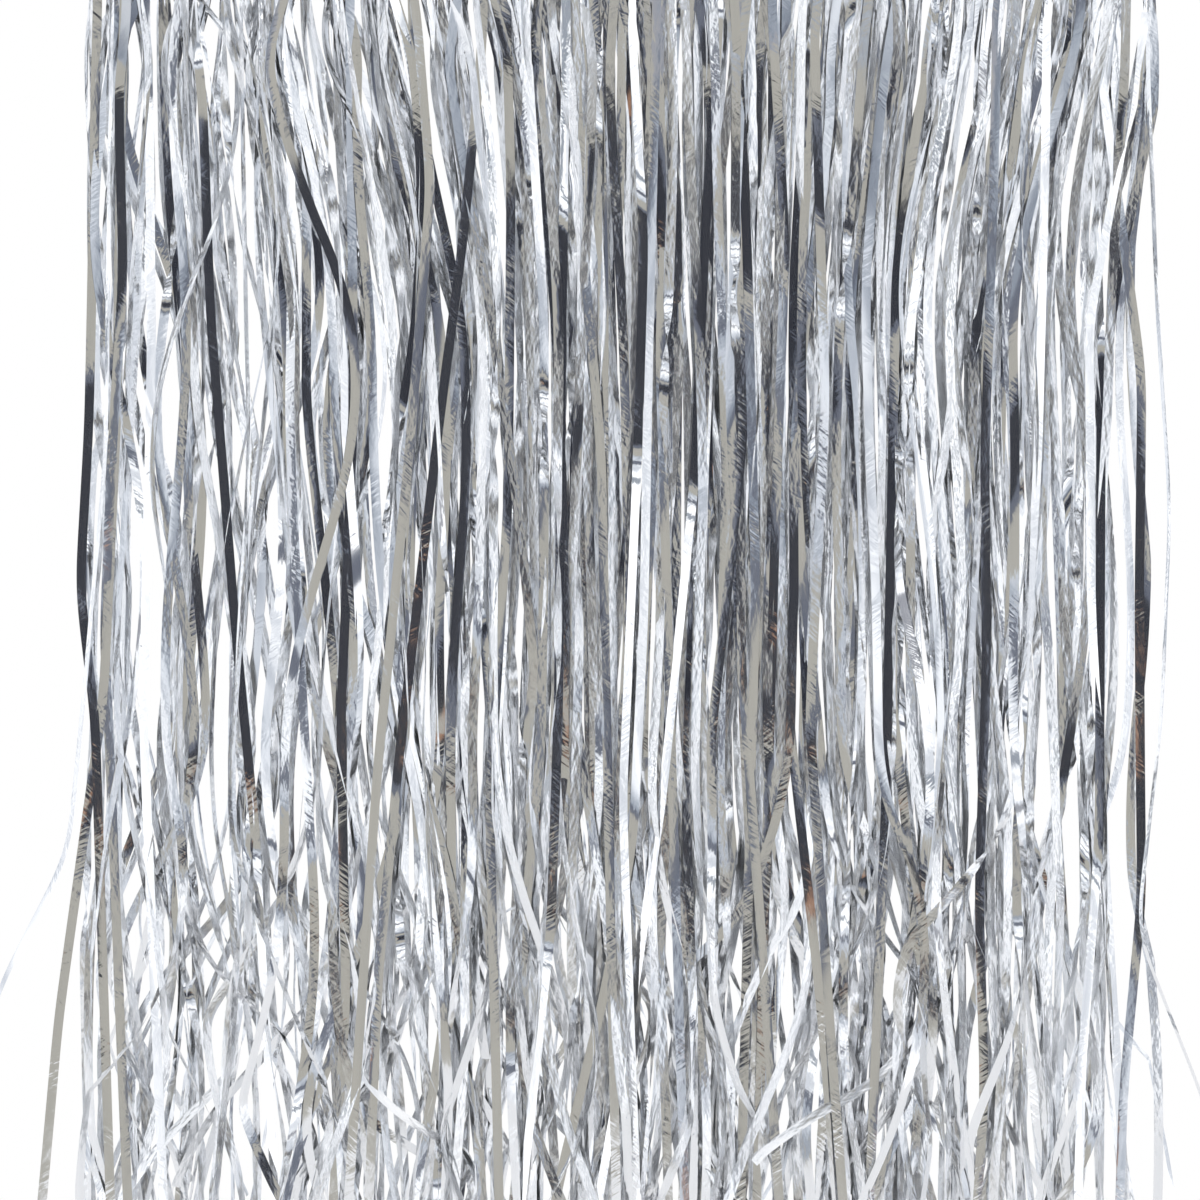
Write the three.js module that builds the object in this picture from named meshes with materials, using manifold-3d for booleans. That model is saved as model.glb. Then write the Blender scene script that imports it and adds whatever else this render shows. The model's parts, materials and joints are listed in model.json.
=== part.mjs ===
// A hanging curtain of foil lametta: three plies of metallised film, cut into narrow strips below an
// uncut band. The bands are held in a folded header card by wire staples, and the card hangs from a
// peg by its slot. Millimetres, +Z up, X across the width, -Y to the front.
// The origin is where the peg bears: the middle of the slot's upper edge, halfway through the card.

import * as THREE from 'three';
import { mergeVertices } from 'three/addons/utils/BufferGeometryUtils.js';
import Module from 'manifold-3d';

const wasm = await Module();
wasm.setup();

// Driving dimensions of the film
const STRIP_WIDTH = 3.5; // one cut strip
const STRIPS_PER_LOCK = 7; // side by side across one lock, in each ply
const LOCK_COUNT = 16; // the fringe parts into locks that swing on their own
const LOCK_GAP = 0.5; // air between neighbouring locks
const FRINGE_LENGTH = 500; // from the card's lower edge to the tips
const PLY_COUNT = 3;
const BAND_THICKNESS = 0.25; // the uncut band of one ply, doubled over for strength
const BAND_HEIGHT = 26;

// Driving dimensions of the header
const CLEARANCE = 0.3; // between pieces that touch
const CARD_THICKNESS = 0.5;
const CARD_ABOVE_SLOT = 12;
const CARD_HEIGHT = 50;
const CARD_OVERHANG = 2; // card beyond the film at each side
const SLOT_WIDTH = 30;
const SLOT_HEIGHT = 8;
const STAPLE_COUNT = 5;
const STAPLE_PITCH = 80;
const STAPLE_CROWN = 12;
const STAPLE_CLINCH = 4.5; // length of each bent end
const STAPLE_WIRE = 0.5;
const STAPLE_RISE = 13; // staples above the card's lower edge

// Driving dimensions of the locks
const ROOT_DROP = 3; // the solid of a lock starts this far below its hinge line
const OUTER_FLARE = 36; // how far stray strips spread past the fringe's sides

// Worked out
const LOCK_WIDTH = STRIP_WIDTH * STRIPS_PER_LOCK;
const LOCK_PITCH = LOCK_WIDTH + LOCK_GAP;
const FRINGE_WIDTH = LOCK_PITCH * LOCK_COUNT;
const CARD_WIDTH = FRINGE_WIDTH + 2 * CARD_OVERHANG;
const CARD_BOTTOM = CARD_ABOVE_SLOT - CARD_HEIGHT;
const PLY_PITCH = BAND_THICKNESS + CLEARANCE;
const FOLD_INNER = (PLY_COUNT * PLY_PITCH + CLEARANCE) / 2;
const FOLD_OUTER = FOLD_INNER + CARD_THICKNESS;
const STAPLE_Z = CARD_BOTTOM + STAPLE_RISE;
const THROUGH = 4 * FOLD_OUTER; // a cut this deep passes both leaves of the card

const cardMaterial = new THREE.MeshStandardMaterial({ color: 0xeeece6, roughness: 0.75, metalness: 0 });
const filmMaterial = new THREE.MeshStandardMaterial({ color: 0xd3d7dd, roughness: 0.12, metalness: 1 });
const wireMaterial = new THREE.MeshStandardMaterial({ color: 0xb8babd, roughness: 0.3, metalness: 1 });

// Standing up a flat drawing: its x and y become X and Z, and its depth runs along Y.
const UPRIGHT = new THREE.Matrix4().makeRotationX(Math.PI / 2);
// Laying a side view across the width: its x and y become Y and Z, and its depth runs along X.
const ACROSS = new THREE.Matrix4().makeBasis(
  new THREE.Vector3(0, 1, 0),
  new THREE.Vector3(0, 0, 1),
  new THREE.Vector3(1, 0, 0),
);

function toSolid(geometry) {
  const bare = geometry.clone();
  bare.deleteAttribute('normal');
  bare.deleteAttribute('uv');
  const merged = mergeVertices(bare, 1e-4);
  return new wasm.Manifold(new wasm.Mesh({
    numProp: 3,
    vertProperties: new Float32Array(merged.attributes.position.array),
    triVerts: new Uint32Array(merged.index.array),
  }));
}

function toGeometry(solid) {
  const mesh = solid.getMesh();
  const geometry = new THREE.BufferGeometry();
  geometry.setAttribute('position', new THREE.BufferAttribute(mesh.vertProperties, 3));
  geometry.setIndex(new THREE.BufferAttribute(mesh.triVerts, 1));
  geometry.computeVertexNormals();
  return geometry;
}

function pieceOf(name, geometry, material) {
  const mesh = new THREE.Mesh(geometry, material);
  mesh.name = name;
  return mesh;
}

// A drawing extruded through a thickness, centred on it
function plate(shape, thickness, matrix, curveSegments = 6) {
  const geometry = new THREE.ExtrudeGeometry(shape, { depth: thickness, bevelEnabled: false, curveSegments });
  geometry.translate(0, 0, -thickness / 2);
  return geometry.applyMatrix4(matrix);
}

// Places along the width where the staples sit
function stapleCentres() {
  const middle = (STAPLE_COUNT - 1) / 2;
  return Array.from({ length: STAPLE_COUNT }, (_, i) => (i - middle) * STAPLE_PITCH);
}

// Places along the width where a staple's leg goes through
function legCentres() {
  const reach = (STAPLE_CROWN - STAPLE_WIRE) / 2;
  return stapleCentres().flatMap((x) => [x - reach, x + reach]);
}

// A solid with the holes that the staples' legs make through it
function pierced(solid) {
  const hole = STAPLE_WIRE + 2 * CLEARANCE;
  return legCentres().reduce((rest, x) => {
    const leg = new THREE.BoxGeometry(hole, THROUGH, hole).translate(x, 0, STAPLE_Z);
    return rest.subtract(toSolid(leg));
  }, solid);
}

// The card folded over the plies: two leaves joined by a round fold, with the peg slot and the holes
// that the staples make through both leaves
function headerCard() {
  const foldCentre = CARD_ABOVE_SLOT - FOLD_OUTER;
  const side = new THREE.Shape();
  side.moveTo(-FOLD_OUTER, CARD_BOTTOM);
  side.lineTo(-FOLD_INNER, CARD_BOTTOM);
  side.lineTo(-FOLD_INNER, foldCentre);
  side.absarc(0, foldCentre, FOLD_INNER, Math.PI, 0, true);
  side.lineTo(FOLD_INNER, CARD_BOTTOM);
  side.lineTo(FOLD_OUTER, CARD_BOTTOM);
  side.lineTo(FOLD_OUTER, foldCentre);
  side.absarc(0, foldCentre, FOLD_OUTER, 0, Math.PI, false);
  side.closePath();
  const card = toSolid(plate(side, CARD_WIDTH, ACROSS));

  const slotEnd = SLOT_HEIGHT / 2;
  const slotReach = SLOT_WIDTH / 2 - slotEnd;
  const slot = new THREE.Shape();
  slot.absarc(slotReach, -slotEnd, slotEnd, -Math.PI / 2, Math.PI / 2, false);
  slot.absarc(-slotReach, -slotEnd, slotEnd, Math.PI / 2, 3 * Math.PI / 2, false);
  slot.closePath();
  const slotted = card.subtract(toSolid(plate(slot, THROUGH, UPRIGHT)));
  return pieceOf('header_card', toGeometry(pierced(slotted)), cardMaterial);
}

// The uncut band along the top of one ply, pierced by the staples
function filmBand(ply) {
  const blank = new THREE.BoxGeometry(FRINGE_WIDTH, BAND_THICKNESS, BAND_HEIGHT);
  blank.translate(0, 0, CARD_BOTTOM + BAND_HEIGHT / 2);
  const band = pieceOf(`film_band_${ply + 1}`, toGeometry(pierced(toSolid(blank))), filmMaterial);
  band.position.y = (ply - (PLY_COUNT - 1) / 2) * PLY_PITCH;
  return band;
}

// A wire staple seen from above: its crown lies on the front leaf, its legs go through to the back,
// and their ends are clinched towards each other
function staple(number, x) {
  const half = STAPLE_CROWN / 2;
  const inner = half - STAPLE_WIRE;
  const front = -FOLD_OUTER - CLEARANCE;
  const back = FOLD_OUTER + CLEARANCE;
  const bend = STAPLE_WIRE;
  const wire = new THREE.Shape();
  wire.moveTo(-half + bend, front - STAPLE_WIRE);
  wire.lineTo(half - bend, front - STAPLE_WIRE);
  wire.absarc(half - bend, front, bend, -Math.PI / 2, 0, false);
  wire.lineTo(half, back);
  wire.absarc(half - bend, back, bend, 0, Math.PI / 2, false);
  wire.lineTo(half - STAPLE_CLINCH, back + STAPLE_WIRE);
  wire.lineTo(half - STAPLE_CLINCH, back);
  wire.lineTo(inner, back);
  wire.lineTo(inner, front);
  wire.lineTo(-inner, front);
  wire.lineTo(-inner, back);
  wire.lineTo(-half + STAPLE_CLINCH, back);
  wire.lineTo(-half + STAPLE_CLINCH, back + STAPLE_WIRE);
  wire.lineTo(-half + bend, back + STAPLE_WIRE);
  wire.absarc(-half + bend, back, bend, Math.PI / 2, Math.PI, false);
  wire.lineTo(-half, front);
  wire.absarc(-half + bend, front, bend, Math.PI, 3 * Math.PI / 2, false);
  const piece = pieceOf(`staple_${number}`, plate(wire, STAPLE_WIRE, new THREE.Matrix4(), 3), wireMaterial);
  piece.position.set(x, 0, STAPLE_Z);
  return piece;
}

// Half the depth of the hanging strips at a share of the way down: pressed flat where they leave the
// card, springing apart below it, and drawn in a little at the tips
function lockHalfDepth(share) {
  const spread = 1.3 + 4.5 * (1 - Math.exp(-share * 9));
  return spread - 2.2 * Math.max(0, share - 0.9) / 0.1;
}

// How far the outermost lock leans out past the fringe's side at a share of the way down
function outwardFlare(share) {
  return OUTER_FLARE * THREE.MathUtils.smoothstep(share, 0.55, 0.88);
}

// One lock of the fringe, as the closed outer shape of its strips. It hangs from a hinge line at the
// card's lower edge, which is its own origin.
function fringeLock(index) {
  const [columns, layers, rows] = [4, 1, 10];
  const geometry = new THREE.BoxGeometry(1, 1, 1, columns, layers, rows);
  const point = new THREE.Vector3();
  const places = geometry.attributes.position;
  const side = index === 0 ? -1 : index === LOCK_COUNT - 1 ? 1 : 0;
  for (let i = 0; i < places.count; i += 1) {
    point.fromBufferAttribute(places, i);
    const share = 0.5 - point.z;
    const across = 2 * point.x;
    const flare = across * side > 0 ? across * outwardFlare(share) : 0;
    const crown = 1 - 0.35 * across ** 2;
    places.setXYZ(
      i,
      across * LOCK_WIDTH / 2 + flare,
      2 * point.y * lockHalfDepth(share) * crown,
      -ROOT_DROP - share * (FRINGE_LENGTH - ROOT_DROP),
    );
  }
  geometry.computeVertexNormals();
  const number = String(index + 1).padStart(2, '0');
  const lock = pieceOf(`fringe_lock_${number}`, geometry, filmMaterial);
  lock.position.set((index - (LOCK_COUNT - 1) / 2) * LOCK_PITCH, 0, CARD_BOTTOM);
  return lock;
}

const lametta = new THREE.Group();

const header = new THREE.Group();
header.add(headerCard());
for (let ply = 0; ply < PLY_COUNT; ply += 1) {
  header.add(filmBand(ply));
}
stapleCentres().forEach((x, i) => header.add(staple(i + 1, x)));
lametta.add(header);

const fringe = new THREE.Group();
for (let i = 0; i < LOCK_COUNT; i += 1) {
  fringe.add(fringeLock(i));
}
lametta.add(fringe);

export default lametta;
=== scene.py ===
# %% [markdown]
# # A curtain of silver lametta
# Lametta is thin polyester film with a mirror coat of aluminium. Several plies are laid together,
# cut into narrow strips from below, and stapled into a folded card by the uncut band at the top.
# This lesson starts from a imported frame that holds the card, the bands, the staples and sixteen
# swinging locks. It keeps the hard parts and gives them finishes, and it rebuilds each lock as
# its own loose strips of film, one ribbon of mesh for every strip.

# %% Load the frame
import json
import math
import bpy
import numpy as np
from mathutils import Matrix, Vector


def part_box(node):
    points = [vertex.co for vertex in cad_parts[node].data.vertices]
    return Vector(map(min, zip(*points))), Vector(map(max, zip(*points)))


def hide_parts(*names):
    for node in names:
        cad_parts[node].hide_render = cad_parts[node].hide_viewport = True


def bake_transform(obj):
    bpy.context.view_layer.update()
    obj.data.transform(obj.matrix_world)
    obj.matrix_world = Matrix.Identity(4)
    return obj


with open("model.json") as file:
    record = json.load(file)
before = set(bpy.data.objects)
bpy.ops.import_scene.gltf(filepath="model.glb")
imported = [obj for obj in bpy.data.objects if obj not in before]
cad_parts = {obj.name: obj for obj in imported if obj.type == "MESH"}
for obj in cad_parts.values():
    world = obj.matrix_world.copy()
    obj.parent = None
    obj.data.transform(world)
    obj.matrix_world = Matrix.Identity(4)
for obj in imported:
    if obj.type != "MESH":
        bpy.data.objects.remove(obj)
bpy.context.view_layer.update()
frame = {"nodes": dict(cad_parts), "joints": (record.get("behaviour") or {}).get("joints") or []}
MM = 0.001
lock_names = sorted(name for name in frame["nodes"] if name.startswith("fringe_lock_"))
band_names = sorted(name for name in frame["nodes"] if name.startswith("film_band_"))
staple_names = sorted(name for name in frame["nodes"] if name.startswith("staple_"))
print("locks", len(lock_names), "bands", len(band_names), "staples", len(staple_names))

# %% [markdown]
# ## Places that the frame gives
# Every size comes from the frame's boxes, so the strips start exactly at the lower edge of the
# uncut bands and end where the locks end. A lock's pitch is the distance between two hinge lines.

# %% Read the sizes of the fringe
card_low, card_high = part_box("header_card")
root_z = card_low.z
tip_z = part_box(lock_names[0])[0].z
fringe_length = root_z - tip_z
ply_depths = []
for name in band_names:
    low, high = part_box(name)
    ply_depths.append((low.y + high.y) / 2)
ply_depths.sort()
hinges = {joint["child"]: joint["pos_m"] for joint in frame["joints"]}
lock_pitch = hinges["lock_02"][0] - hinges["lock_01"][0]
half_fringe = lock_pitch * len(lock_names) / 2
print("fringe", round(fringe_length, 4), "m long and", round(2 * half_fringe, 4), "m wide")

# %% [markdown]
# ## Camera
# A plain front view from the height of the fringe's middle. It is close enough to crop the card
# and the tips, so the strips fill the picture from edge to edge. A longer lens keeps the strips
# at the two sides as upright as those in the middle.

# %% Set the camera
VIEW_HEIGHT = 0.453  # metres of fringe from the top of the view to its bottom
VIEW_BELOW_CARD = 0.028
VIEW_SIDEWAYS = -0.0085
LENS = 100
SENSOR = 36
camera_data = bpy.data.cameras.new("front_camera")
camera_data.lens = LENS
camera_data.sensor_width = SENSOR
camera = bpy.data.objects.new("front_camera", camera_data)
distance = VIEW_HEIGHT * LENS / SENSOR
camera.location = (VIEW_SIDEWAYS, -distance, root_z - VIEW_BELOW_CARD - VIEW_HEIGHT / 2)
camera.rotation_euler = (math.pi / 2, 0, 0)
bpy.context.scene.collection.objects.link(camera)
bpy.context.scene.camera = camera
print("camera", round(distance, 3), "m in front")

# %% [markdown]
# ## Helpers for shader nodes
# A finish is a small network of nodes. `add_node` makes one and fills in its sockets. The two kinds
# that come back most are wrapped as well: a sum in `math_node`, and a blend of two colours in
# `mix_colours`. Both take sockets and plain values alike, so a material reads as a list of what
# it is made of.

# %% Nodes, sums and blends
def add_node(tree, kind, **inputs):
    node = tree.nodes.new(kind)
    for socket, value in inputs.items():
        node.inputs[socket.replace("_", " ")].default_value = value
    return node


def math_node(tree, operation, first, second=None):
    node = tree.nodes.new("ShaderNodeMath")
    node.operation = operation
    for socket, value in zip(node.inputs, (first, second)):
        if hasattr(value, "is_output"):
            tree.links.new(value, socket)
        elif value is not None:
            socket.default_value = value
    return node.outputs[0]


def mix_colours(tree, factor, first, second, blend="MIX"):
    node = tree.nodes.new("ShaderNodeMix")
    node.data_type = "RGBA"
    node.blend_type = blend
    for socket, value in ((node.inputs[0], factor), (node.inputs[6], first), (node.inputs[7], second)):
        if hasattr(value, "is_output"):
            tree.links.new(value, socket)
        else:
            socket.default_value = value
    return node.outputs[2]


# %% [markdown]
# ## Helpers for ramps and finishes
# A ramp turns a number into a colour. Its stops are a list of places and colours, and `grey_ramp`
# takes plain numbers where only a strength is needed. `new_finish` starts a material and hands
# over its tree and its shader.

# %% Ramps and finishes
def fill_ramp(elements, stops):
    """Give a colour ramp its stops, each a place and a colour with its alpha."""
    while len(elements) > 1:
        elements.remove(elements[0])
    elements[0].position, elements[0].color = stops[0]
    for place, colour in stops[1:]:
        elements.new(place).color = colour


def ramp_node(tree, factor, stops):
    node = tree.nodes.new("ShaderNodeValToRGB")
    fill_ramp(node.color_ramp.elements, [(place, (*colour, 1)) for place, colour in stops])
    tree.links.new(factor, node.inputs["Fac"])
    return node.outputs["Color"]


def grey_ramp(tree, factor, stops):
    return ramp_node(tree, factor, [(place, (value, value, value)) for place, value in stops])


def new_finish(name, metallic=0.0):
    """A new material, its node tree and its shader."""
    material = bpy.data.materials.new(name)
    material.use_nodes = True
    shader = material.node_tree.nodes["Principled BSDF"]
    shader.inputs["Metallic"].default_value = metallic
    return material, material.node_tree, shader


# %% [markdown]
# ## Studio light
# A mirror has no colour of its own, so the look of this film is the look of the room. It could be
# lit with real lamps and walls of mesh, but a painted world is quicker and never casts a hard
# shadow. The room is white nearly all round. Upright strips see only the ring of it at their own
# height, so the ring is where the detail goes, as a table of angles round the room: 0 is behind
# the camera, and minus is to its left. The walls fade softly from one colour to the next.

# %% Paint the walls
WHITE = (1.13, 1.135, 1.145)
PALE = (0.68, 0.715, 0.77)
BLUE_GREY = (0.30, 0.335, 0.39)
GREY = (0.34, 0.35, 0.39)
SLATE = (0.12, 0.135, 0.18)
CHARCOAL = (0.014, 0.016, 0.026)
BEIGE = (0.445, 0.43, 0.385)
RUST = (0.42, 0.22, 0.13)
RED = (0.45, 0.05, 0.04)
WALLS = [
    (-180, WHITE), (-150, PALE), (-122, WHITE), (-92, PALE), (-66, WHITE), (-34, WHITE), (-22, PALE),
    (-6, BLUE_GREY), (16, BLUE_GREY), (23, PALE), (32, WHITE), (52, WHITE), (68, PALE), (95, WHITE),
    (120, WHITE), (150, PALE), (180, WHITE),
]
print("wall colours round the ring", len(WALLS))

# %% [markdown]
# ## Panels, window and sill
# On the walls hang panels with sharp edges. They make the crisp dark and beige lengths on flat
# strips. The broad ones behind the camera are a dark window in a beige wall, charcoal in its
# middle and slate at its sides. It is dark only between two heights, so a strip changes from
# charcoal to beige as it hangs lower. Each panel has a start, an end, a colour at the window's
# height, and a colour above and below it. A thin sill of rust and red under the window gives
# the few warm glints.

# %% Hang the panels
PANELS = [
    (-170, -164, SLATE, BLUE_GREY), (-68, -64, GREY, PALE), (-44, -40, BLUE_GREY, BEIGE),
    (-27, -23, SLATE, BLUE_GREY), (-18, -9, BEIGE, BEIGE), (-9, -6, SLATE, BEIGE),
    (-6, 5.5, CHARCOAL, BEIGE), (5.5, 8, SLATE, BEIGE), (8, 14, BEIGE, BEIGE), (14, 16, SLATE, GREY),
    (44, 48, SLATE, BLUE_GREY), (84, 87, SLATE, GREY), (141, 147, SLATE, GREY),
]
SILL = [(-4, -0.5, RUST), (3.5, 4.2, RED), (15, 16, RUST)]
SILL_HEIGHT = 1.3
WINDOW_LOW = -4.4
WINDOW_HIGH = 13
WINDOW_FLARE = 0.35  # degrees that the window grows up and down for each degree to the side
PANELS_LOW = -20
PANELS_HIGH = 24
PANEL_SLANT = 0.25  # degrees that the panels lean to the side for each degree up
print("panels", len(PANELS))

# %% [markdown]
# ## From angles to colours
# A colour ramp turns an angle round the room into a colour: smoothly for the walls, and in steps
# for the panels. Where no panel hangs, the steps are bare, and the ramp's alpha tells where.

# %% Turn angles into colours
def round_share(angle):
    """An angle round the room, from -180 to 180, as a share of the whole turn."""
    return (angle + 180) / 360


def between(tree, value, low, high):
    """1 where a value lies between two limits, and 0 elsewhere."""
    above = math_node(tree, "GREATER_THAN", value, low)
    below = math_node(tree, "LESS_THAN", value, high)
    return math_node(tree, "MULTIPLY", above, below)


def panel_ramp(tree, around, panels, shade):
    """Sharp-edged panels with bare wall between them: the colour, and where a panel is."""
    bare = (0, 0, 0, 0)
    stops = [(0.0, bare)]
    for panel in panels:
        start, end = round_share(panel[0]), round_share(panel[1])
        if abs(start - stops[-1][0]) < 1e-6:
            stops.pop()
        stops += [(start, (*panel[shade], 1)), (end, bare)]
    node = tree.nodes.new("ShaderNodeValToRGB")
    node.color_ramp.interpolation = "CONSTANT"
    fill_ramp(node.color_ramp.elements, stops)
    tree.links.new(around, node.inputs["Fac"])
    return node.outputs["Color"], node.outputs["Alpha"]


print("the first panel starts at", round(round_share(PANELS[0][0]), 3), "of the way round")

# %% [markdown]
# ## Walls and panels
# A soft noise makes the walls slightly cloudy, as light on real walls is. The panels change colour
# at the window's lower and upper edges, which move apart towards its sides. They end at a lowest
# and a highest angle.

# %% Build the walls and the panels
CLOUD_SCALE = 11.0
CLOUD_DARK = (0.65, 0.68, 0.73)
CLOUD_LIGHT = (1.24, 1.24, 1.24)
DEGREES = 180 / math.pi


def cloudy_walls(tree, direction, around):
    walls = ramp_node(tree, around, [(round_share(angle), colour) for angle, colour in WALLS])
    uneven = add_node(tree, "ShaderNodeTexNoise", Scale=CLOUD_SCALE, Detail=2.0)
    tree.links.new(direction, uneven.inputs["Vector"])
    clouds = ramp_node(tree, uneven.outputs["Fac"], [(0.38, CLOUD_DARK), (0.60, CLOUD_LIGHT)])
    return mix_colours(tree, 1.0, walls, clouds, "MULTIPLY")


def hung_panels(tree, turn, around, up):
    """The panels with their window and sill: the colour, and where they hide the wall."""
    slanted = math_node(tree, "ADD", around, math_node(tree, "MULTIPLY", up, PANEL_SLANT / 360))
    middle, mask = panel_ramp(tree, slanted, PANELS, 2)
    outer, _ = panel_ramp(tree, slanted, PANELS, 3)
    sill, on_sill = panel_ramp(tree, slanted, SILL, 2)
    to_the_side = math_node(tree, "ABSOLUTE", turn)
    growth = math_node(tree, "MULTIPLY", to_the_side, WINDOW_FLARE * DEGREES)
    low = math_node(tree, "SUBTRACT", WINDOW_LOW, growth)
    high = math_node(tree, "ADD", WINDOW_HIGH, growth)
    low_edge = between(tree, up, low, math_node(tree, "ADD", low, SILL_HEIGHT))
    middle = mix_colours(tree, math_node(tree, "MULTIPLY", on_sill, low_edge), middle, sill)
    panels = mix_colours(tree, between(tree, up, low, high), outer, middle)
    return panels, math_node(tree, "MULTIPLY", mask, between(tree, up, PANELS_LOW, PANELS_HIGH))


print("the panels end at", PANELS_LOW, "and", PANELS_HIGH, "degrees")

# %% [markdown]
# ## Painting the world
# The world works out for each direction how far round the room and how far up it points, and
# looks up its colour. Steep directions, the ceiling and the ground, are white. What the camera
# sees directly is plain white, too.

# %% Light the studio from the world
CEILING = (1.1, 1.1, 1.11)
BACKDROP = (1.0, 1.0, 1.0)


def paint_studio(scene):
    world = bpy.data.worlds.new("studio")
    scene.world = world
    world.use_nodes = True
    tree = world.node_tree
    tree.nodes.clear()
    direction = tree.nodes.new("ShaderNodeTexCoord").outputs["Generated"]
    split = tree.nodes.new("ShaderNodeSeparateXYZ")
    tree.links.new(direction, split.inputs[0])
    x, y, z = split.outputs
    turn = math_node(tree, "ARCTAN2", x, math_node(tree, "MULTIPLY", y, -1.0))
    around = math_node(tree, "ADD", math_node(tree, "DIVIDE", turn, 2 * math.pi), 0.5)
    up = math_node(tree, "MULTIPLY", math_node(tree, "ARCSINE", z), DEGREES)
    walls = cloudy_walls(tree, direction, around)
    panels, shown = hung_panels(tree, turn, around, up)
    lit = mix_colours(tree, shown, walls, panels)
    steepness = math_node(tree, "ADD", math_node(tree, "DIVIDE", up, 180), 0.5)
    steep = grey_ramp(tree, steepness, [(0.30, 1), (0.38, 0), (0.64, 0), (0.75, 1)])
    lit = mix_colours(tree, steep, lit, (*CEILING, 1))
    direct = tree.nodes.new("ShaderNodeLightPath").outputs["Is Camera Ray"]
    light = add_node(tree, "ShaderNodeBackground", Strength=1.0)
    tree.links.new(mix_colours(tree, direct, lit, (*BACKDROP, 1)), light.inputs["Color"])
    out = tree.nodes.new("ShaderNodeOutputWorld")
    tree.links.new(light.outputs[0], out.inputs["Surface"])


paint_studio(bpy.context.scene)
bpy.context.scene.view_settings.view_transform = "Standard"
print("studio ring with", len(PANELS), "panels")

# %% [markdown]
# ## Floor
# The fringe hangs free, so the floor only closes the studio below it. A pale round floor a little
# under the tips is enough. It ends before the front view's lower edge can see it.

# %% Lay the floor
FLOOR_BELOW_TIPS = 0.25
FLOOR_RADIUS = 1.3
FLOOR_CORNERS = 96
floor_z = tip_z - FLOOR_BELOW_TIPS


def pale_floor_finish():
    material, tree, shader = new_finish("studio_floor")
    shader.inputs["Roughness"].default_value = 0.9
    grain = add_node(tree, "ShaderNodeTexNoise", Scale=6.0, Detail=3.0)
    pale = grey_ramp(tree, grain.outputs["Fac"], [(0.3, 0.86), (0.7, 0.9)])
    tree.links.new(pale, shader.inputs["Base Color"])
    return material


def lay_floor():
    ring = [(FLOOR_RADIUS * math.cos(angle), FLOOR_RADIUS * math.sin(angle), floor_z)
            for angle in np.linspace(0, 2 * math.pi, FLOOR_CORNERS, endpoint=False)]
    mesh = bpy.data.meshes.new("studio_floor")
    mesh.from_pydata(ring, [], [list(range(FLOOR_CORNERS))])
    floor = bpy.data.objects.new("studio_floor", mesh)
    bpy.context.scene.collection.objects.link(floor)
    floor.data.materials.append(pale_floor_finish())


lay_floor()
print("floor", round(floor_z, 3))

# %% [markdown]
# ## Mirror film
# The finish of the strips is nearly all metal. What makes it film and not sheet steel is the fine
# crinkle: short ripples that run across a strip, stronger in some stretches than in others. The
# strips carry a map with their own width and length in it, so the ripples can be stretched across
# the strip whatever way it twists.

# %% Helpers for grain and relief
def stretched(tree, place, scale, slant=0.0, shift=0.0):
    """A place on a surface, in millimetres, made into repeats per millimetre across and along."""
    node = tree.nodes.new("ShaderNodeMapping")
    node.vector_type = "TEXTURE"
    node.inputs["Scale"].default_value = (1 / scale[0], 1 / scale[1], 1)
    node.inputs["Rotation"].default_value = (0, 0, slant)
    node.inputs["Location"].default_value = (shift, shift, 0)
    tree.links.new(place, node.inputs["Vector"])
    return node.outputs["Vector"]


def noise(tree, vector, scale=1.0, detail=2.0, rough=0.5):
    node = add_node(tree, "ShaderNodeTexNoise", Scale=scale, Detail=detail, Roughness=rough)
    tree.links.new(vector, node.inputs["Vector"])
    return node.outputs["Fac"]


def bump(tree, height, depth, below=None):
    node = add_node(tree, "ShaderNodeBump", Strength=1.0, Distance=depth)
    tree.links.new(height, node.inputs["Height"])
    if below is not None:
        tree.links.new(below, node.inputs["Normal"])
    return node.outputs["Normal"]


# %% [markdown]
# ## Two reliefs on one film
# The relief has two layers. Long streaks lean slightly to either side and follow how crinkled a
# strip is. Short ripples run across the strip and come in patches, also on a strip that is nearly
# smooth. Where the film is creased it also scatters a little, so the roughness rises there.

# %% Mix the film finish
FILM_METALLIC = 0.95
FILM_DULL = (0.885, 0.895, 0.91)
FILM_BRIGHT = (0.94, 0.945, 0.955)
STREAK_REPEATS = (0.52, 0.13)
STREAK_SLANTS = (0.20, -0.25)
STREAK_DEPTH = 0.27 * MM
TONE_REPEATS = (0.3, 0.02)
RIPPLE_REPEATS = (0.10, 0.55)
RIPPLE_LAYERS = [(0.55, 200.0), (-0.65, 400.0)]  # slant, and a shift that sets the layers apart
RIPPLE_DEPTH = 0.12 * MM
CREASE_PATCHES = {"repeats": 0.022, "low": 0.32, "high": 0.52}
RIPPLE_PATCHES = {"repeats": 0.035, "low": 0.50, "high": 0.68}
SMOOTH_ROUGHNESS = 0.06
CREASED_ROUGHNESS = 0.24


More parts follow.
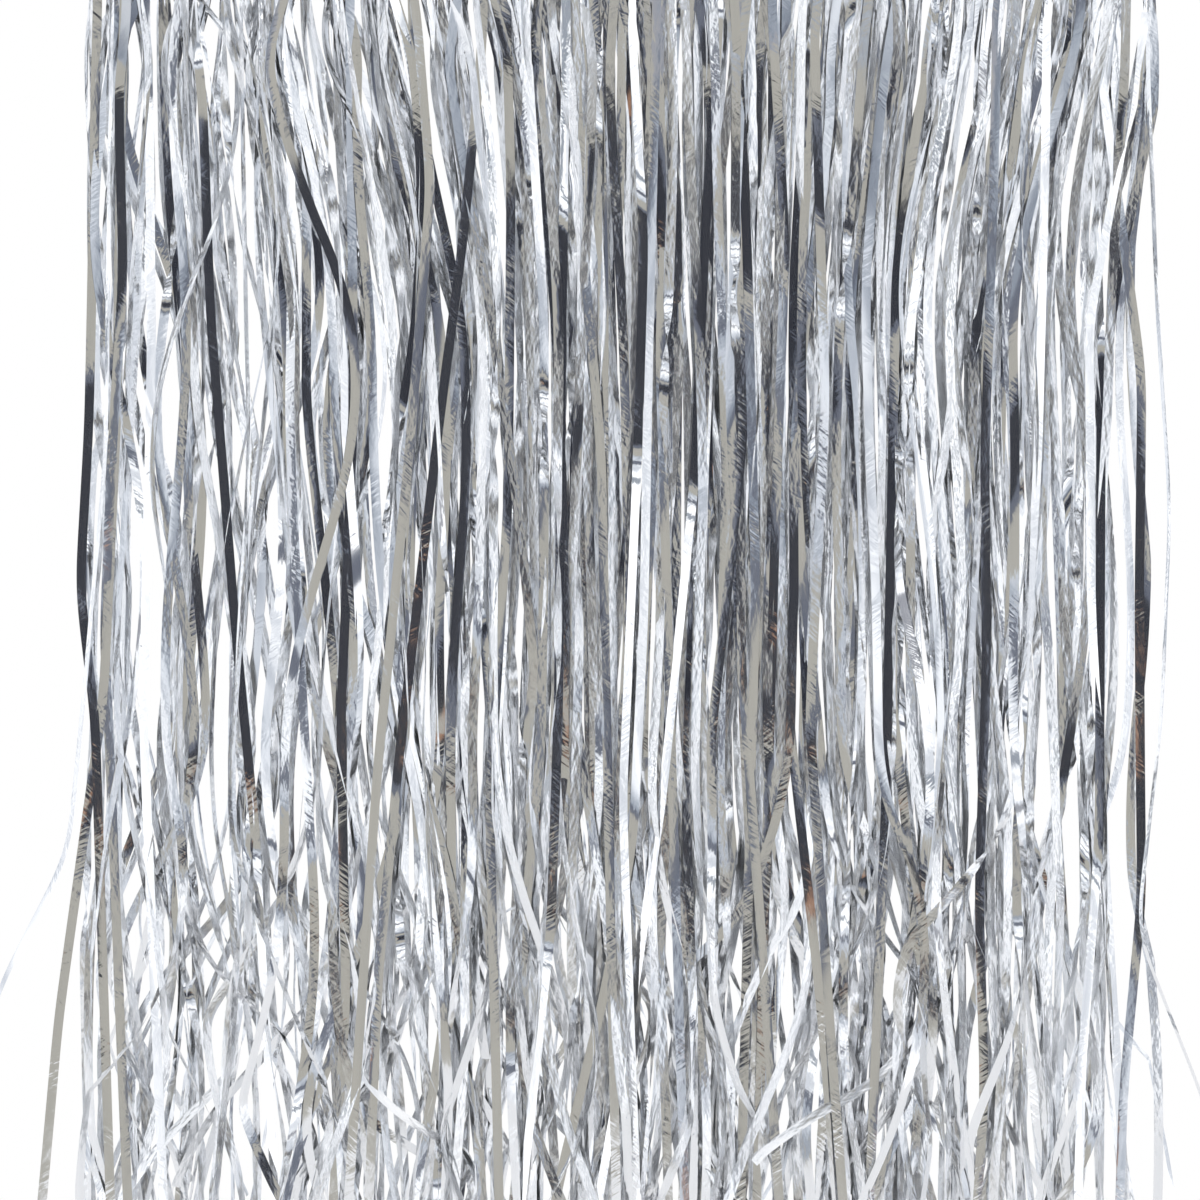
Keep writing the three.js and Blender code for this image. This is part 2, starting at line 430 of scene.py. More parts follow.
def film_finish(name, place_on, crinkle_of):
    material, tree, shader = new_finish(name, FILM_METALLIC)
    place = place_on(tree)
    crinkle = crinkle_of(tree)

    def patches(repeats, low, high, shift=0.0):
        spots = noise(tree, stretched(tree, place, (repeats, repeats), shift=shift), detail=1.0)
        return grey_ramp(tree, spots, [(low, 0), (high, 1)])

    creased = math_node(tree, "MULTIPLY", crinkle, patches(**CREASE_PATCHES))
    leaning = [noise(tree, stretched(tree, place, STREAK_REPEATS, slant), detail=1.5, rough=0.45)
               for slant in STREAK_SLANTS]
    streaks = math_node(tree, "MULTIPLY", creased, math_node(tree, "ADD", *leaning))
    ripples = []
    for slant, shift in RIPPLE_LAYERS:
        fine = noise(tree, stretched(tree, place, RIPPLE_REPEATS, slant))
        ripples.append(math_node(tree, "MULTIPLY", fine, patches(shift=shift, **RIPPLE_PATCHES)))
    relief = bump(tree, streaks, STREAK_DEPTH)
    relief = bump(tree, math_node(tree, "ADD", *ripples), RIPPLE_DEPTH, relief)
    tree.links.new(relief, shader.inputs["Normal"])
    tone = noise(tree, stretched(tree, place, TONE_REPEATS), detail=3.0)
    tree.links.new(ramp_node(tree, tone, [(0.3, FILM_DULL), (0.7, FILM_BRIGHT)]),
                   shader.inputs["Base Color"])
    tree.links.new(grey_ramp(tree, creased, [(0.0, SMOOTH_ROUGHNESS), (1.0, CREASED_ROUGHNESS)]),
                   shader.inputs["Roughness"])
    return material


print("the deepest relief is", round(STREAK_DEPTH / MM, 2), "mm")

# %% [markdown]
# ## The finish of the strips
# A strip gets its place on the film from the map called `strip`, and how crinkled it is there from
# a value that is stored with its mesh. Both are made further down, together with the strips.

# %% Finish the strips
def strip_map(tree):
    node = tree.nodes.new("ShaderNodeUVMap")
    node.uv_map = "strip"
    return node.outputs["UV"]


def strip_crinkle(tree):
    node = tree.nodes.new("ShaderNodeAttribute")
    node.attribute_name = "crinkle"
    return node.outputs["Fac"]


mirror_film = film_finish("mirror_film", strip_map, strip_crinkle)
print("film finish", len(mirror_film.node_tree.nodes), "nodes")

# %% [markdown]
# ## How a limp strip hangs
# Each strip is cut to one length, so its path may wander but never stretch. The sideways and
# fore-and-aft positions are chosen first, as sums of slow random lines, and the drop is then
# worked out step by step from the strip's own length. A `wander` line is drawn through random
# knots: smoothly for a sway, or straight from knot to knot for a film that has been creased.

# %% Random lines along the strips
STEP = 2.0 * MM
CREASE_RADIUS = 8 * MM
samples = int(round(fringe_length / STEP)) + 1
along = np.linspace(0, fringe_length, samples)
share = along / fringe_length


def eased(lines, radius):
    """The same lines with every corner rounded over a length of film."""
    reach = int(radius / STEP)
    window = np.hanning(2 * reach + 3)[1:-1]
    ahead = 2 * lines[:, :1] - lines[:, reach:0:-1]
    behind = 2 * lines[:, -1:] - lines[:, -2:-reach - 2:-1]
    padded = np.concatenate([ahead, lines, behind], axis=1)
    return np.stack([np.convolve(line, window / window.sum(), mode="valid") for line in padded])


def wander(rng, count, wavelength, creased=False):
    """count random lines of about unit size, one value for each sample along a strip."""
    knots = rng.standard_normal((count, int(fringe_length / wavelength) + 5))
    place = along[None, :] / wavelength + rng.random((count, 1))
    index = place.astype(int)
    t = place - index
    rows = np.arange(count)[:, None]
    before, left, right, after = (knots[rows, index + k] for k in range(4))
    if creased:
        return eased(left + (right - left) * t, CREASE_RADIUS)
    return 0.5 * (2 * left + (right - before) * t
                  + (2 * before - 5 * left + 4 * right - after) * t ** 2
                  + (3 * (left - right) + after - before) * t ** 3)


def sway(rng, count, lines):
    """The sum of some random lines, each given as its size, its wavelength and if it is creased."""
    return sum(size * wander(rng, count, wavelength, creased) for size, wavelength, creased in lines)


def smooth_rise(start, end):
    """0 above a share of the way down, 1 below another, and smooth between."""
    t = np.clip((share - start) / (end - start), 0, 1)
    return t * t * (3 - 2 * t)


print("samples along a strip", samples)

# %% [markdown]
# ## The shared sway
# Strips that hang close together cling and move as one. A few long waves that run through the
# whole fringe give that, so neighbouring strips bend the same way, also from one lock to the next.
# Shorter waves across the width make strips bunch together and part again, which opens the tall
# gaps that light shines through. Each wave has a size, a length down the strip, a length across
# the fringe and a phase.

# %% Waves that the whole fringe shares
SWAY_WAVES = [(0.0009, 0.42, 0.37, 0.4), (0.0006, 0.26, 0.19, 2.1)]
BUNCH_WAVES = [
    (0.0024, 0.44, 0.024, 0.3), (0.0021, -0.36, 0.019, 1.7),
    (0.0014, 0.27, 0.0135, 4.0), (0.0010, -0.20, 0.0105, 5.2),
]


def push_of(waves, x):
    """Sideways push on a strip rooted at x: size, length down the strip, length across, phase."""
    push = np.zeros((len(x), samples))
    for size, down, across, phase in waves:
        push += size * np.sin(2 * math.pi * (along[None, :] / down + x[:, None] / across) + phase)
    return push


print("shared waves", len(SWAY_WAVES) + len(BUNCH_WAVES))

# %% [markdown]
# ## One lock of strips
# A lock has seven strips from each of the three plies. At the card they lie flat and edge to edge.
# A few millimetres lower each one goes its own way, and in the last third some of them tangle and
# some stray. How restless a strip is, and whether it tangles or strays, is drawn once for each.

# %% Give each strip a temper
STRIP_WIDTH = 3.5 * MM
STRIPS_ACROSS = 7
PLIES = len(ply_depths)
loosen = smooth_rise(0.0, 0.12)
tangle = smooth_rise(0.58, 0.90)
stray = smooth_rise(0.60, 0.95)
CALMING = 1.3  # the larger, the more strips are calm
TANGLING = (0.6, 0.4, 1.2)  # part of the strips, least strength and most strength
STRAYING = (0.5, 0.5, 1.1)


def some_of(rng, count, part, least, most):
    """A random strength for a part of the strips, and 0 for the others."""
    return (rng.random((count, 1)) < part) * rng.uniform(least, most, (count, 1))


def tempers(rng, count):
    """How restless each strip is, and how much it tangles and strays at each sample."""
    restless = rng.random((count, 1)) ** CALMING
    tangled = some_of(rng, count, *TANGLING) * tangle
    wild = some_of(rng, count, *STRAYING) * stray
    return restless, tangled, wild


print("strips in a lock", STRIPS_ACROSS * PLIES)

# %% [markdown]
# ## Where a strip hangs
# Its place across the fringe is its place on the card, plus the shared waves, plus sways of its
# own: gentle ones all the way down, and larger ones where it tangles or strays. The fringe closes
# up in the middle and opens towards its sides. From front to back the sways are smaller, and the
# depth is limited smoothly, because the strips lean on each other.

# %% Place the strips
LOCK_DEPTH = 5.5 * MM
MOST_DEPTH = 14 * MM
DRIFT = 4.0 * MM
BUNCH_SHARES = (0.6, 1.2)  # how fully a strip follows the bunching, at least and at most
SWAYS = [(4.0 * MM, 0.27, False), (2.4 * MM, 0.12, True), (0.6 * MM, 0.10, False)]
TANGLES = [(10.0 * MM, 0.13, True), (4.0 * MM, 0.09, False)]
STRAYS = [(27.0 * MM, 0.15, True), (6.0 * MM, 0.09, False)]
DEEP_SWAYS = [(1.8 * MM, 0.09, False)]
DEEP_TANGLES = [(3.0 * MM, 0.06, False)]
PULL_BACK = 0.75  # share of its way beyond the fringe's side that a strip is pulled back


def gather(root_x):
    """Where a strip settles sideways: strips close up in the middle of the fringe."""
    places = np.array([-1.0, -0.53, 0.67, 0.97, 1.0]) * half_fringe
    settled = np.array([-1.0, -0.43, 0.59, 0.89, 1.0]) * half_fringe
    return np.interp(root_x, places, settled) - root_x


def openness(root_x):
    """How strongly strips bunch and part: little in the dense middle, more towards the sides."""
    return np.interp(root_x, np.array([-0.6, -0.2, 0.3, 0.7]) * half_fringe, [2.8, 0.2, 0.2, 1.6])


def sideways(rng, root_x, tangled, wild):
    count = len(root_x)
    bunching = (push_of(BUNCH_WAVES, root_x) * openness(root_x)[:, None]
                * rng.uniform(*BUNCH_SHARES, (count, 1)))
    x = (root_x[:, None] + gather(root_x)[:, None] * smooth_rise(0.0, 0.33)
         + (push_of(SWAY_WAVES, root_x) + bunching) * loosen
         + rng.normal(0, DRIFT, (count, 1)) * smooth_rise(0.0, 1.0)
         + sway(rng, count, SWAYS) * loosen
         + sway(rng, count, TANGLES) * tangled
         + sway(rng, count, STRAYS) * wild)
    return x - np.sign(x) * np.maximum(np.abs(x) - half_fringe, 0) * PULL_BACK


def front_to_back(rng, root_y, tangled, wild):
    count = len(root_y)
    y = (root_y[:, None] * (1 - smooth_rise(0.0, 0.2))
         + rng.uniform(-1, 1, (count, 1)) * LOCK_DEPTH * smooth_rise(0.0, 0.25)
         + sway(rng, count, DEEP_SWAYS) * loosen
         + sway(rng, count, DEEP_TANGLES) * np.maximum(tangled, wild))
    return MOST_DEPTH * np.tanh(y / MOST_DEPTH)


across_fringe = np.linspace(-half_fringe, half_fringe, 2 * STRIPS_ACROSS)
print("strips settle sideways by up to", round(np.abs(gather(across_fringe)).max() / MM), "mm")

# %% [markdown]
# ## Which way a strip faces
# The facing of a strip is an angle about its own line, and that is what breaks its reflection into
# patches. It is made of a turn that the whole strip keeps, a slow twist, small creased turns, and
# a half turn here and there where the strip shows its other face. Restless strips turn more.

# %% Turn the strips
HALF_TURN_TRIES = 3
HALF_TURN_DEEPEST = 0.62
HALF_TURN_LENGTHS = (0.03, 0.12)
HALF_TURN_CHANCE = (0.12, 0.6)  # for a calm strip, and what full restlessness adds
KEPT_TURN = (0.22, 0.7)
SLOW_TWIST = (0.10, 0.55)
SLOW_TWIST_LENGTH = 0.20
CREASED_TURN = (0.02, 0.08)
CREASED_TURN_LENGTH = 0.04
TANGLE_TWIST = 0.35
TANGLE_TWIST_LENGTH = 0.06
LIVELINESS = (0.20, 0.54)  # where the fringe is closed, and what openness adds
TANGLED_TURN = 0.5
STRAY_TURN = 0.9
settle = smooth_rise(0.0, 0.05)


def grown(amounts, by):
    """A least amount, and another that grows with how restless or how free a strip is."""
    least, more = amounts
    return least + more * by


def half_turns(rng, restless):
    """Turns by which a strip now and then shows its other face, each within a short stretch."""
    turned = np.zeros((len(restless), samples))
    for _ in range(HALF_TURN_TRIES):
        centre = rng.uniform(0.0, HALF_TURN_DEEPEST, restless.shape)
        length = rng.uniform(*HALF_TURN_LENGTHS, restless.shape)
        t = np.clip((along[None, :] - centre) / length + 0.5, 0, 1)
        turns = rng.random(restless.shape) < grown(HALF_TURN_CHANCE, restless)
        way = rng.choice([-1, 1], restless.shape) * turns
        turned += math.pi * way * t * t * (3 - 2 * t)
    return turned


def facings(rng, root_x, restless, tangled, wild):
    count = len(root_x)
    lively = grown(LIVELINESS, openness(root_x)[:, None])
    return settle * (
        half_turns(rng, restless)
        + rng.normal(0, 1, (count, 1)) * grown(KEPT_TURN, restless) * lively
        + wander(rng, count, SLOW_TWIST_LENGTH) * grown(SLOW_TWIST, restless) * lively
        + wander(rng, count, CREASED_TURN_LENGTH, creased=True) * grown(CREASED_TURN, restless)
        + wander(rng, count, TANGLE_TWIST_LENGTH) * TANGLE_TWIST * tangle
        + rng.normal(0, 1, (count, 1)) * (TANGLED_TURN * tangled + STRAY_TURN * wild))


print("strips turn freely below", round(along[settle.argmax()] / MM), "mm")

# %% [markdown]
# ## Led strips
# A few strips follow a route that is given, not drawn. A led strip lies in front of its lock and
# is nearly smooth. Between two drops it faces so that a chosen angle of the studio shows in it,
# wherever it hangs: it turns half as far as the camera's ray to it does. Above and below that
# length it turns away.

# %% Lead a strip along its route
ROUTE_RADIUS = 22 * MM
LEAD_FADE = 25
LEAD_DEPTHS = (0.9, 1.3)
LEAD_FORWARD_BY = (0.1, 0.35)  # share of the way down by which it has come to the front
LEAD_SWAY = 1.6 * MM
LEAD_SWAY_LENGTH = 0.13
LEAD_TWIST = 0.05
LEAD_TWIST_LENGTH = 0.12
TURNS_AWAY = [-0.11, -0.11, 0.45]
LEAD_RESTLESS = 0.05
LEAD_CRINKLE = 0.1


def routed(points, root_x):
    """A strip led through chosen places, as (drop, sideways) in millimetres, with eased bends."""
    drops = [0.0] + [drop * MM for drop, _ in points]
    sides = [root_x] + [side * MM for _, side in points]
    return eased(np.interp(along, drops, sides)[None, :], ROUTE_RADIUS)[0]


def drop_rise(start, end):
    """A smooth rise between two drops in millimetres."""
    return smooth_rise(start * MM / fringe_length, end * MM / fringe_length)


def led_strip(rng, lead, root_x):
    """Places across and in depth, and the facing, of a strip with a route of its own."""
    x = routed(lead["route"], root_x)
    y = (-LOCK_DEPTH * rng.uniform(*LEAD_DEPTHS) * smooth_rise(0.0, rng.uniform(*LEAD_FORWARD_BY))
         + wander(rng, 1, LEAD_SWAY_LENGTH)[0] * LEAD_SWAY * loosen)
    first, last = lead["front"]
    away = 1 - (drop_rise(first - LEAD_FADE, first) - drop_rise(last, last + LEAD_FADE))
    aim = 0.5 * np.arctan2(x - VIEW_SIDEWAYS, distance)
    facing = settle * (math.radians(lead["turn"]) + aim
                       + LEAD_TWIST * wander(rng, 1, LEAD_TWIST_LENGTH)[0]
                       + away * rng.choice(TURNS_AWAY))
    return x, y, facing


side_aim = 0.5 * math.atan2(half_fringe, distance)
print("a led strip at the side turns", round(math.degrees(side_aim), 1), "degrees to aim")

# %% [markdown]
# ## From places to paths
# The film doesn't stretch, so what a step goes sideways it doesn't drop. That gives the height of
# each sample. A lock's paths are drawn for all its strips together, and the led ones among them
# are then put on their routes. A restless strip is more crinkled, and most of all in the tangle.

# %% Draw the paths of a lock
LEAST_DROP = 0.3  # a step never drops less than this share of its length
CRINKLE_START = 0.04
CRINKLE_OF_RESTLESS = 2.1
CRINKLE_OF_TANGLE = 0.9


def hung(x, y):
    """Centre lines whose drop at each sample is what the film's own length leaves."""
    step = along[1] - along[0]
    dx = np.diff(x, axis=1)
    dy = np.diff(y, axis=1)
    drop = np.sqrt(np.maximum(step ** 2 - dx ** 2 - dy ** 2, (LEAST_DROP * step) ** 2))
    z = root_z - np.concatenate([np.zeros((len(x), 1)), np.cumsum(drop, axis=1)], axis=1)
    return np.stack([x, y, z], axis=-1)


def strip_paths(rng, root_x, root_y, leads):
    """A lock's centre lines and facing angles, and how restless and crinkled each strip is."""
    count = len(root_x)
    restless, tangled, wild = tempers(rng, count)
    x = sideways(rng, root_x, tangled, wild)
    y = front_to_back(rng, root_y, tangled, wild)
    facing = facings(rng, root_x, restless, tangled, wild)
    crinkle = np.clip(CRINKLE_OF_RESTLESS * restless - CRINKLE_START
                      + CRINKLE_OF_TANGLE * rng.random((count, 1)) * tangle, 0, 1)
    for index, lead in leads:
        x[index], y[index], facing[index] = led_strip(rng, lead, root_x[index])
        restless[index] = LEAD_RESTLESS
        crinkle[index] = LEAD_CRINKLE * loosen
    return hung(x, y), facing, restless, crinkle


plumb = hung(np.zeros((1, samples)), np.zeros((1, samples)))
print("a straight strip ends at height", round(plumb[0, -1, 2], 4))

# %% [markdown]
# ## From paths to ribbons
# A ribbon is three points across at each sample: two edges, and a middle that is pushed in and out
# by dents. The edges curl slightly, so no strip is quite flat.

# %% Make ribbons of the strips
DENTS = [(0.22 * MM, 0.012, True), (0.35 * MM, 0.032, True)]
CURL = [(0.20 * MM, 0.06, False)]
CALM_DENTS = 0.04
CALM_CURL = 0.1


def ribbon_points(rng, path, facing, restless):
    """Three points across each sample: a ribbon with a slight curl and creases."""
    count = len(path)
    ahead = np.gradient(path, axis=1)
    ahead /= np.linalg.norm(ahead, axis=-1, keepdims=True)
    front = np.array([0.0, -1.0, 0.0]) - ahead * (-ahead[..., 1:2])
    front /= np.linalg.norm(front, axis=-1, keepdims=True)
    side = np.cross(ahead, front)
    turn = facing[..., None]
    normal = front * np.cos(turn) + side * np.sin(turn)
    across = side * np.cos(turn) - front * np.sin(turn)
    dents = sway(rng, count, DENTS) * smooth_rise(0.0, 0.06) * (CALM_DENTS + restless)
    centre = path + normal * dents[..., None]
    curl = normal * (sway(rng, count, CURL) * (CALM_CURL + restless))[..., None]
    reach = across * STRIP_WIDTH / 2
    return np.stack([centre - reach + curl, centre, centre + reach + curl], axis=2)


print("points in a strip", 3 * samples)

# %% [markdown]
# ## Strips with a route of their own
# Random lines give the crowd, but a real fringe also has strips that catch the eye: long flat ones
# that mirror the dark window, edge strips that bow outwards, and a few that spring away near the
# tips. The table names each by its lock and its place in the lock. Its route is a list of drops
# below the card and places from the middle, in millimetres. Between the two drops called `front`
# it faces the camera, apart from a turn in degrees.

# %% Routes given one by one
LEADERS = {
    (1, 0): {"front": (185, 255), "turn": 1,
        "route": [(28, -198), (190, -201), (250, -204), (300, -198), (500, -192)]},
    (1, 1): {"front": (0, 500), "turn": 58,
        "route": [(28, -192), (200, -194), (300, -203), (350, -208), (407, -234), (450, -247), (500, -254)]},
    (1, 2): {"front": (66, 134), "turn": 0,
        "route": [(28, -186), (66, -189), (134, -187), (210, -192), (270, -195), (500, -185)]},
    (1, 3): {"front": (335, 430), "turn": 3.5,
        "route": [(28, -188), (180, -190), (292, -195), (349, -203), (413, -212), (500, -220)]},
    (1, 5): {"front": (77, 171), "turn": -11,
        "route": [(28, -180), (77, -178), (160, -177), (300, -180), (500, -172)]},
    (2, 4): {"front": (66, 341), "turn": 0,
        "route": [(28, -163), (66, -158), (150, -155), (260, -146), (341, -138), (500, -130)]},
    (3, 2): {"front": (0, 500), "turn": 60,
        "route": [(28, -144), (200, -140), (340, -148), (380, -136), (458, -107), (500, -98)]},
    (4, 6): {"front": (152, 405), "turn": 0,
        "route": [(30, -103), (180, -101), (300, -106), (405, -104), (500, -110)]},
    (5, 4): {"front": (20, 500), "turn": 6,
        "route": [(30, -78), (100, -72), (200, -80), (320, -92), (500, -104)]},
    (6, 5): {"front": (40, 315), "turn": 0,
        "route": [(28, -52), (58, -54), (120, -60), (190, -69), (315, -84), (400, -92), (500, -96)]},
    (7, 1): {"front": (50, 217), "turn": 0,
        "route": [(28, -44), (100, -42), (217, -43), (330, -50), (500, -46)]},
    (8, 0): {"front": (122, 375), "turn": 0,
        "route": [(28, -21), (160, -23), (292, -24), (380, -27), (500, -40)]},
    (8, 3): {"front": (50, 111), "turn": 1,
        "route": [(28, -13), (50, -14), (110, -16), (200, -8), (500, -2)]},
    (9, 1): {"front": (115, 190), "turn": 1,
        "route": [(28, 3), (120, 8), (190, 6), (330, 0), (500, 6)]},
    (9, 3): {"front": (345, 477), "turn": -3.2,
        "route": [(28, 13), (150, 10), (260, 8), (345, 4), (405, -7), (477, -24), (500, -28)]},
    (9, 4): {"front": (60, 160), "turn": -1,
        "route": [(28, 17), (66, 18), (160, 14), (300, 18), (500, 24)]},
    (10, 2): {"front": (45, 205), "turn": 0,
        "route": [(28, 37), (54, 35), (120, 31), (210, 27), (330, 15), (420, 2), (500, -12)]},
    (10, 4): {"front": (36, 128), "turn": 0,
        "route": [(28, 42), (60, 44), (126, 47), (250, 50), (500, 44)]},
    (10, 5): {"front": (198, 270), "turn": 1,
        "route": [(28, 46), (170, 40), (270, 44), (380, 52), (500, 60)]},
    (11, 2): {"front": (62, 122), "turn": 1,
        "route": [(28, 56), (66, 58), (120, 61), (240, 57), (500, 50)]},
    (11, 4): {"front": (307, 405), "turn": -1,
        "route": [(28, 60), (200, 58), (305, 63), (405, 74), (500, 82)]},
    (12, 0): {"front": (120, 300), "turn": 5,
        "route": [(40, 72), (180, 76), (300, 70), (420, 78), (500, 84)]},
    (13, 5): {"front": (35, 137), "turn": 1,
        "route": [(28, 121), (70, 112), (130, 103), (230, 101), (330, 99), (500, 92)]},
    (14, 4): {"front": (171, 443), "turn": 0,
        "route": [(40, 141), (200, 136), (277, 137), (368, 134), (440, 136), (500, 132)]},
    (15, 3): {"front": (307, 368), "turn": 1,
        "route": [(28, 160), (200, 156), (307, 150), (368, 148), (430, 154), (500, 160)]},
    (16, 0): {"front": (168, 345), "turn": 3.4,
        "route": [(28, 175), (100, 178), (168, 180), (345, 179), (430, 172), (500, 170)]},
    (16, 2): {"front": (119, 379), "turn": -3.8,
        "route": [(28, 178), (72, 182), (172, 195), (254, 194), (368, 195), (440, 188), (500, 186)]},
    (16, 5): {"front": (0, 500), "turn": 25,
        "route": [(28, 199), (100, 185), (153, 175), (260, 176), (400, 184), (500, 190)]},
    (16, 6): {"front": (0, 500), "turn": 70,
        "route": [(60, 198), (150, 201), (220, 205), (300, 202), (379, 193), (447, 218), (500, 233)]},
}
print("led strips", len(LEADERS))

# %% [markdown]
# ## Ribbons into a mesh
# The points of all strips of a lock go into one mesh. Faces join each sample to the next, and the
# map called `strip` stores how far across and along the film each corner lies, in millimetres.
# Every strip is given its own start on a long film, so no two have the same crinkle.

# %% Build a mesh from ribbon points
FILM_LENGTH = 9000
START_SHIFT = 0.37  # a start further along the film also lies this much further across


def ribbon_mesh(name, points, crinkle, rng):
    strips, rows, columns, _ = points.shape
    grid = np.arange(strips * rows * columns).reshape(strips, rows, columns)
    faces = np.stack([grid[:, :-1, :-1], grid[:, :-1, 1:], grid[:, 1:, 1:], grid[:, 1:, :-1]], axis=-1)
    faces = faces.reshape(-1, 4)
    mesh = bpy.data.meshes.new(name)
    mesh.vertices.add(grid.size)
    mesh.vertices.foreach_set("co", points.astype(np.float32).ravel())
    mesh.loops.add(faces.size)
    mesh.loops.foreach_set("vertex_index", faces.astype(np.int32).ravel())
    mesh.polygons.add(len(faces))
    mesh.polygons.foreach_set("loop_start", np.arange(0, faces.size, 4, dtype=np.int32))
    mesh.update()
    mesh.polygons.foreach_set("use_smooth", np.ones(len(faces), dtype=bool))
    across = np.linspace(0, STRIP_WIDTH / MM, columns)[None, None, :]
    down = (along / MM)[None, :, None]
    start = rng.uniform(0, FILM_LENGTH, (strips, 1, 1))
    place = np.stack(np.broadcast_arrays(across + start * START_SHIFT, down + start), axis=-1)
    layer = mesh.uv_layers.new(name="strip")
    layer.data.foreach_set("uv", place.reshape(-1, 2)[faces.ravel()].astype(np.float32).ravel())
    spread = np.broadcast_to(crinkle[:, :, None], grid.shape)
    amount = mesh.attributes.new("crinkle", "FLOAT", "POINT")
    amount.data.foreach_set("value", spread.astype(np.float32).ravel())
    mesh.validate()
    return mesh


print("faces in a strip", 2 * (samples - 1))

# %% [markdown]
# ## Hanging the locks
# Each lock has its own random seed, so one lock can be changed without moving the others. Its
# strips replace the lock's solid, which stays only for collisions, hidden.

# %% Hang the locks
FIRST_SEED = 4200


def hang_lock(number, name):
    rng = np.random.default_rng(FIRST_SEED + number)
    body = f"lock_{number:02d}"
    middle = hinges[body][0]
    slots = (np.arange(STRIPS_ACROSS) - (STRIPS_ACROSS - 1) / 2) * STRIP_WIDTH + middle
    root_x = np.tile(slots, PLIES)
    root_y = np.repeat(ply_depths, STRIPS_ACROSS)
    leads = [(slot, lead) for (lock, slot), lead in LEADERS.items() if lock == number]
    path, facing, restless, crinkle = strip_paths(rng, root_x, root_y, leads)
    points = ribbon_points(rng, path, facing, restless)
    mesh = ribbon_mesh(f"strips_{number:02d}", points, crinkle, rng)
    piece = bpy.data.objects.new(f"strips_{number:02d}", mesh)
    bpy.context.scene.collection.objects.link(piece)
    piece.data.materials.append(mirror_film)
    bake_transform(piece)
    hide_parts(name)
    return len(root_x)


total = sum(hang_lock(number, name) for number, name in enumerate(lock_names, 1))
print("strips", total)

# %% [markdown]
# ## The uncut bands
# Inside the card each ply is still one piece of film, so it gets the same finish as the strips. It
# has no map of its own strips, and its place on the film is simply how far it lies across the
# fringe and how high, in millimetres. It is pressed flat between the leaves and crinkles little.

# %% Finish the bands
def flat_place(tree):
    parts = tree.nodes.new("ShaderNodeSeparateXYZ")
    tree.links.new(tree.nodes.new("ShaderNodeTexCoord").outputs["Object"], parts.inputs[0])
    joined = tree.nodes.new("ShaderNodeCombineXYZ")
    for axis, side in ((0, 0), (2, 1)):
        tree.links.new(math_node(tree, "DIVIDE", parts.outputs[axis], MM), joined.inputs[side])
    return joined.outputs[0]


def slight_crinkle(tree):
    faint = noise(tree, stretched(tree, flat_place(tree), (0.05, 0.05)))
    return grey_ramp(tree, faint, [(0.3, 0.1), (0.7, 0.4)])


def dress(node_name, finish):
    """Give a node of the frame its finish."""
    slots = frame["nodes"][node_name].data.materials
    slots.clear()
    slots.append(finish)


band_film = film_finish("band_film", flat_place, slight_crinkle)
for name in band_names:
    dress(name, band_film)
print("bands", len(band_names))

# %% [markdown]
# ## The card
# The header is plain white-lined board, folded over. Board shows long fibres in its surface, faint
# clouds where the pulp lay thicker, and greyer, scuffed lines along the fold and the lower edges,
# where it is handled. All three are noise: stretched sideways, large and soft, or let through only
# in narrow bands of height.

# %% Finish the card
BOARD = (0.84, 0.83, 0.80)
BOARD_CLOUD = (0.78, 0.77, 0.735)
BOARD_SCUFF = (0.62, 0.60, 0.56)
FOLD_SCUFF = 2.5
EDGE_SCUFF = 1.2
FIBRE_DEPTH = 0.05 * MM


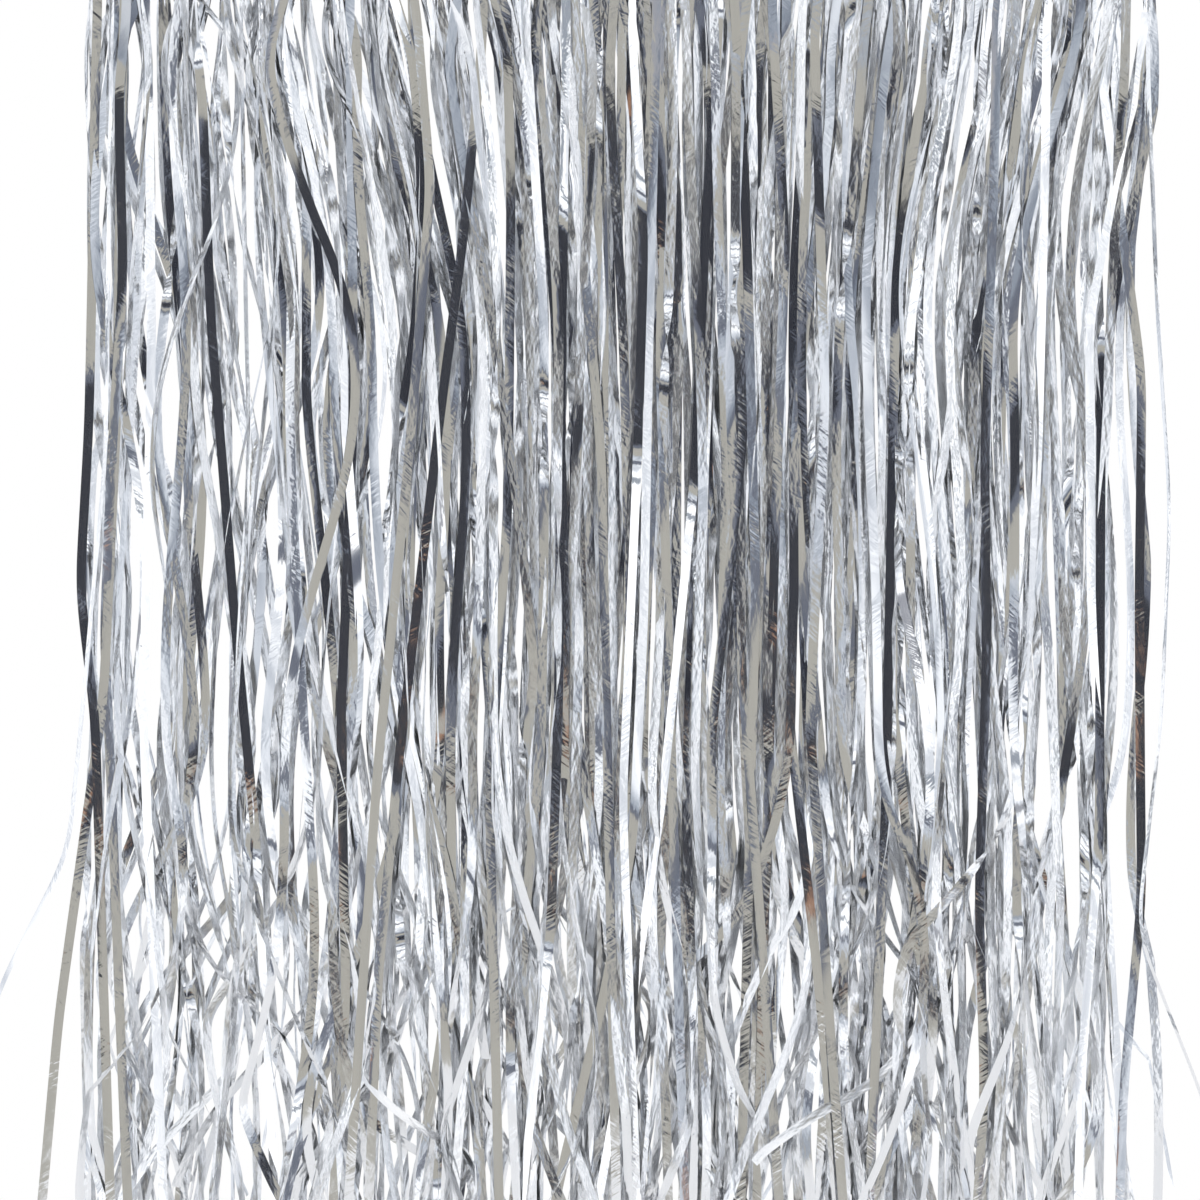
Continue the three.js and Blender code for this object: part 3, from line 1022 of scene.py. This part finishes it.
def board_finish():
    material, tree, shader = new_finish("white_board")
    place = flat_place(tree)
    clouds = noise(tree, stretched(tree, place, (0.03, 0.05)), detail=4.0)
    fibres = noise(tree, stretched(tree, place, (0.5, 3.0), 0.05), detail=6.0, rough=0.7)
    specks = noise(tree, stretched(tree, place, (0.6, 0.6), shift=70.0), detail=5.0, rough=0.75)
    paper = ramp_node(tree, clouds, [(0.35, BOARD_CLOUD), (0.65, BOARD)])
    height = tree.nodes.new("ShaderNodeSeparateXYZ")
    tree.links.new(place, height.inputs[0])
    low, high = card_low.z / MM, card_high.z / MM
    near_fold = between(tree, height.outputs[1], high - FOLD_SCUFF, high + 1)
    near_edge = between(tree, height.outputs[1], low - 1, low + EDGE_SCUFF)
    worn = math_node(tree, "MULTIPLY", math_node(tree, "ADD", near_fold, near_edge),
                     grey_ramp(tree, specks, [(0.48, 0), (0.66, 0.8)]))
    tree.links.new(mix_colours(tree, worn, paper, (*BOARD_SCUFF, 1)), shader.inputs["Base Color"])
    tree.links.new(grey_ramp(tree, fibres, [(0.3, 0.5), (0.7, 0.72)]), shader.inputs["Roughness"])
    tree.links.new(bump(tree, math_node(tree, "ADD", fibres, specks), FIBRE_DEPTH), shader.inputs["Normal"])
    return material


dress("header_card", board_finish())
print("card", round((card_high.x - card_low.x) / MM, 1), "mm wide")

# %% [markdown]
# ## The staples
# Staples are drawn and galvanised wire. Drawing leaves fine lines along the wire, and the zinc has
# a slightly blotchy shine, so the roughness changes in soft spots and the lines are a shallow bump.

# %% Finish the staples
ZINC_DULL = (0.56, 0.57, 0.59)
ZINC_BRIGHT = (0.72, 0.73, 0.75)
DRAWN_LINE_DEPTH = 0.01 * MM


def zinc_wire_finish():
    material, tree, shader = new_finish("zinc_wire", 1.0)
    place = flat_place(tree)
    blotches = noise(tree, stretched(tree, place, (0.8, 0.8)), detail=3.0)
    lines = noise(tree, stretched(tree, place, (0.4, 14.0)), detail=3.0)
    tree.links.new(ramp_node(tree, blotches, [(0.3, ZINC_DULL), (0.7, ZINC_BRIGHT)]),
                   shader.inputs["Base Color"])
    tree.links.new(grey_ramp(tree, blotches, [(0.3, 0.42), (0.7, 0.24)]), shader.inputs["Roughness"])
    tree.links.new(bump(tree, lines, DRAWN_LINE_DEPTH), shader.inputs["Normal"])
    return material


zinc_wire = zinc_wire_finish()
for name in staple_names:
    dress(name, zinc_wire)
print("staples", len(staple_names))
